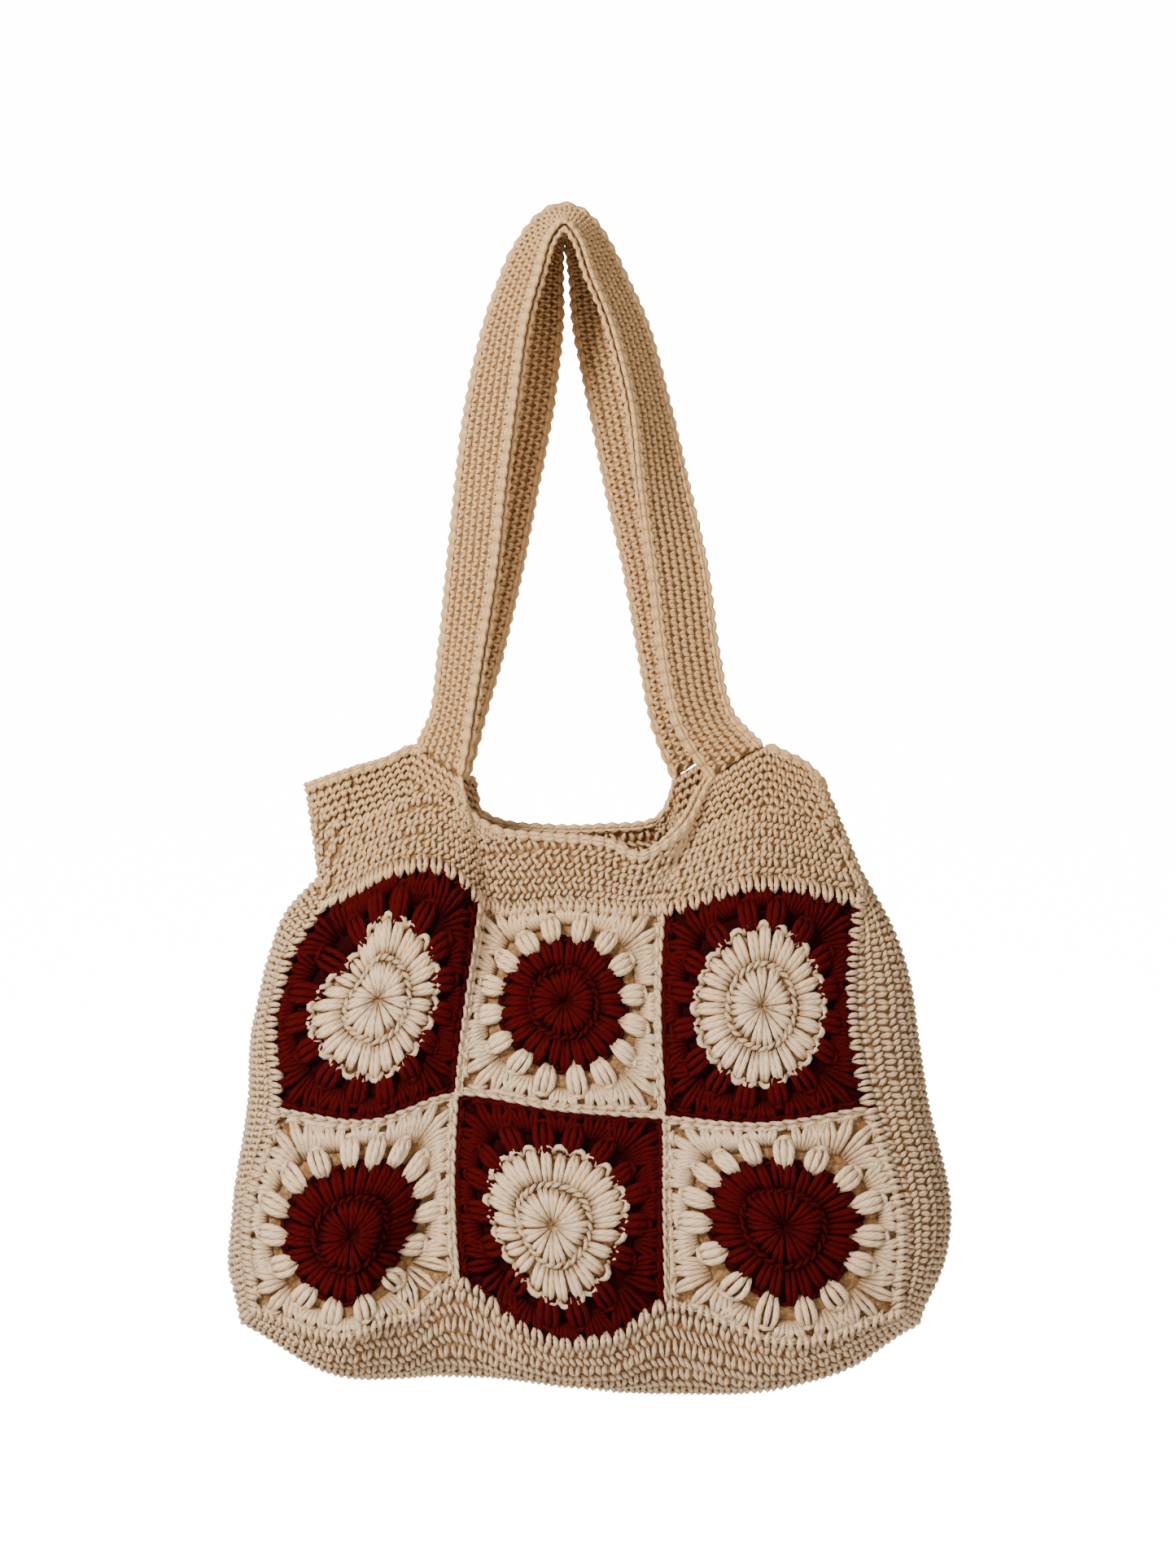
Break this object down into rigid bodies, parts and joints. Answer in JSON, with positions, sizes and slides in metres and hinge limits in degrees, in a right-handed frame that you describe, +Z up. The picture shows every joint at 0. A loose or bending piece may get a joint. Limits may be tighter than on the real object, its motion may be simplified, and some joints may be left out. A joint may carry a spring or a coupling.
{
  "type": "crocheted tote bag",
  "caption": "Soft crocheted shoulder tote of checkered granny squares with a gusset, a top band and shoulder straps, shown hanging by the straps.",
  "frame": {"origin": "the place under the straps' arch where the bag hangs", "axes": "+Z up along the hanging bag, -Y out of its front, +X to the right as seen from the front"},
  "size_m": [0.4201, 0.0928, 0.6904],
  "materials": {
    "red_rosette_yarn": "plied rust red yarn worked into round rosettes of radial ribs",
    "cream_rosette_yarn": "plied cream yarn worked into round rosettes of radial ribs with a scalloped edge",
    "red_frame_yarn": "plied rust red yarn worked into puff clusters and fans",
    "cream_frame_yarn": "plied cream yarn worked into puff clusters and fans",
    "gusset_yarn": "plied cream yarn in short upright crochet stitches",
    "band_yarn": "plied warm cream yarn in rows of crochet stitches with a chain edging",
    "strap_yarn": "plied warm cream yarn in tight lengthwise rows with a chain edging"
  },
  "bodies": {
    "root": {"front_upper_left_rosette": "cream_rosette_yarn", "front_upper_left_frame": "red_frame_yarn", "front_upper_middle_rosette": "red_rosette_yarn", "front_upper_middle_frame": "cream_frame_yarn", "front_upper_right_rosette": "cream_rosette_yarn", "front_upper_right_frame": "red_frame_yarn", "front_lower_left_rosette": "red_rosette_yarn", "front_lower_left_frame": "cream_frame_yarn", "front_lower_middle_rosette": "cream_rosette_yarn", "front_lower_middle_frame": "red_frame_yarn", "front_lower_right_rosette": "red_rosette_yarn", "front_lower_right_frame": "cream_frame_yarn", "back_upper_left_rosette": "cream_rosette_yarn", "back_upper_left_frame": "red_frame_yarn", "back_upper_middle_rosette": "red_rosette_yarn", "back_upper_middle_frame": "cream_frame_yarn", "back_upper_right_rosette": "cream_rosette_yarn", "back_upper_right_frame": "red_frame_yarn", "back_lower_left_rosette": "red_rosette_yarn", "back_lower_left_frame": "cream_frame_yarn", "back_lower_middle_rosette": "cream_rosette_yarn", "back_lower_middle_frame": "red_frame_yarn", "back_lower_right_rosette": "red_rosette_yarn", "back_lower_right_frame": "cream_frame_yarn", "top_band": "band_yarn", "strap_front": "strap_yarn", "strap_back": "strap_yarn", "gusset_left": "gusset_yarn", "gusset_bottom": "gusset_yarn", "gusset_right": "gusset_yarn"}
  },
  "joints": []
}
